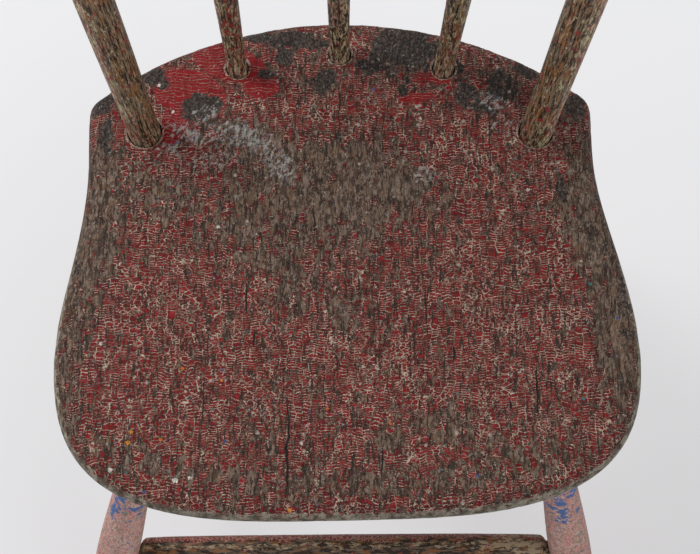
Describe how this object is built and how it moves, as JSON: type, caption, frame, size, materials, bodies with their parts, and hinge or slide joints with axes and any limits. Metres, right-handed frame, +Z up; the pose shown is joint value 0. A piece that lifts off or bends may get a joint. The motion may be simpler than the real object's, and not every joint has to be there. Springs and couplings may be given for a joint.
{
  "type": "plank-seat side chair",
  "caption": "Old wooden side chair: a thick shaped plank seat with crazed red paint, splayed round legs tied by stretchers, and a leaning back of round posts, slender rods and a bent rail.",
  "frame": {"origin": "on the floor under the middle of the chair's outer box", "axes": "+Z up from the floor; the sitter faces -Y, so the back rail is on the +Y side; +X is on the right for someone who looks at the chair from the front"},
  "size_m": [0.484, 0.4542, 0.8634],
  "materials": {
    "seat_paint": "old red paint, crazed all over into small islands with pale cracks, worn to grey-brown wood and dark old paint in patches",
    "worn_rods": "bare brown wood of the posts and rods, worn smooth, with flecks of cream, pink and red paint",
    "leg_paint": "chalky dusty-pink paint over blue, finely wrinkled, chipped to grey-brown wood",
    "stretcher_paint": "red and cream paint that feet have worn to brown and dark grey wood",
    "rail_paint": "crazed red paint, rubbed to brown wood along the edges",
    "bare_wood": "unpainted wood, grey-brown with age",
    "rusty_iron": "rusted dark iron"
  },
  "bodies": {
    "root": {"seat_plank": "seat_paint", "post_left": "worn_rods", "post_right": "worn_rods", "rod_left": "worn_rods", "rod_middle": "worn_rods", "rod_right": "worn_rods", "back_rail": "rail_paint", "leg_front_left": "leg_paint", "leg_front_right": "leg_paint", "leg_rear_left": "leg_paint", "leg_rear_right": "leg_paint", "stretcher_front": "stretcher_paint", "stretcher_rear": "leg_paint", "stretcher_left": "leg_paint", "stretcher_right": "leg_paint", "post_wedge_left": "bare_wood", "post_wedge_right": "bare_wood", "post_nail_left": "rusty_iron", "post_nail_right": "rusty_iron", "rail_peg_left": "bare_wood", "rail_peg_right": "bare_wood"}
  },
  "joints": []
}
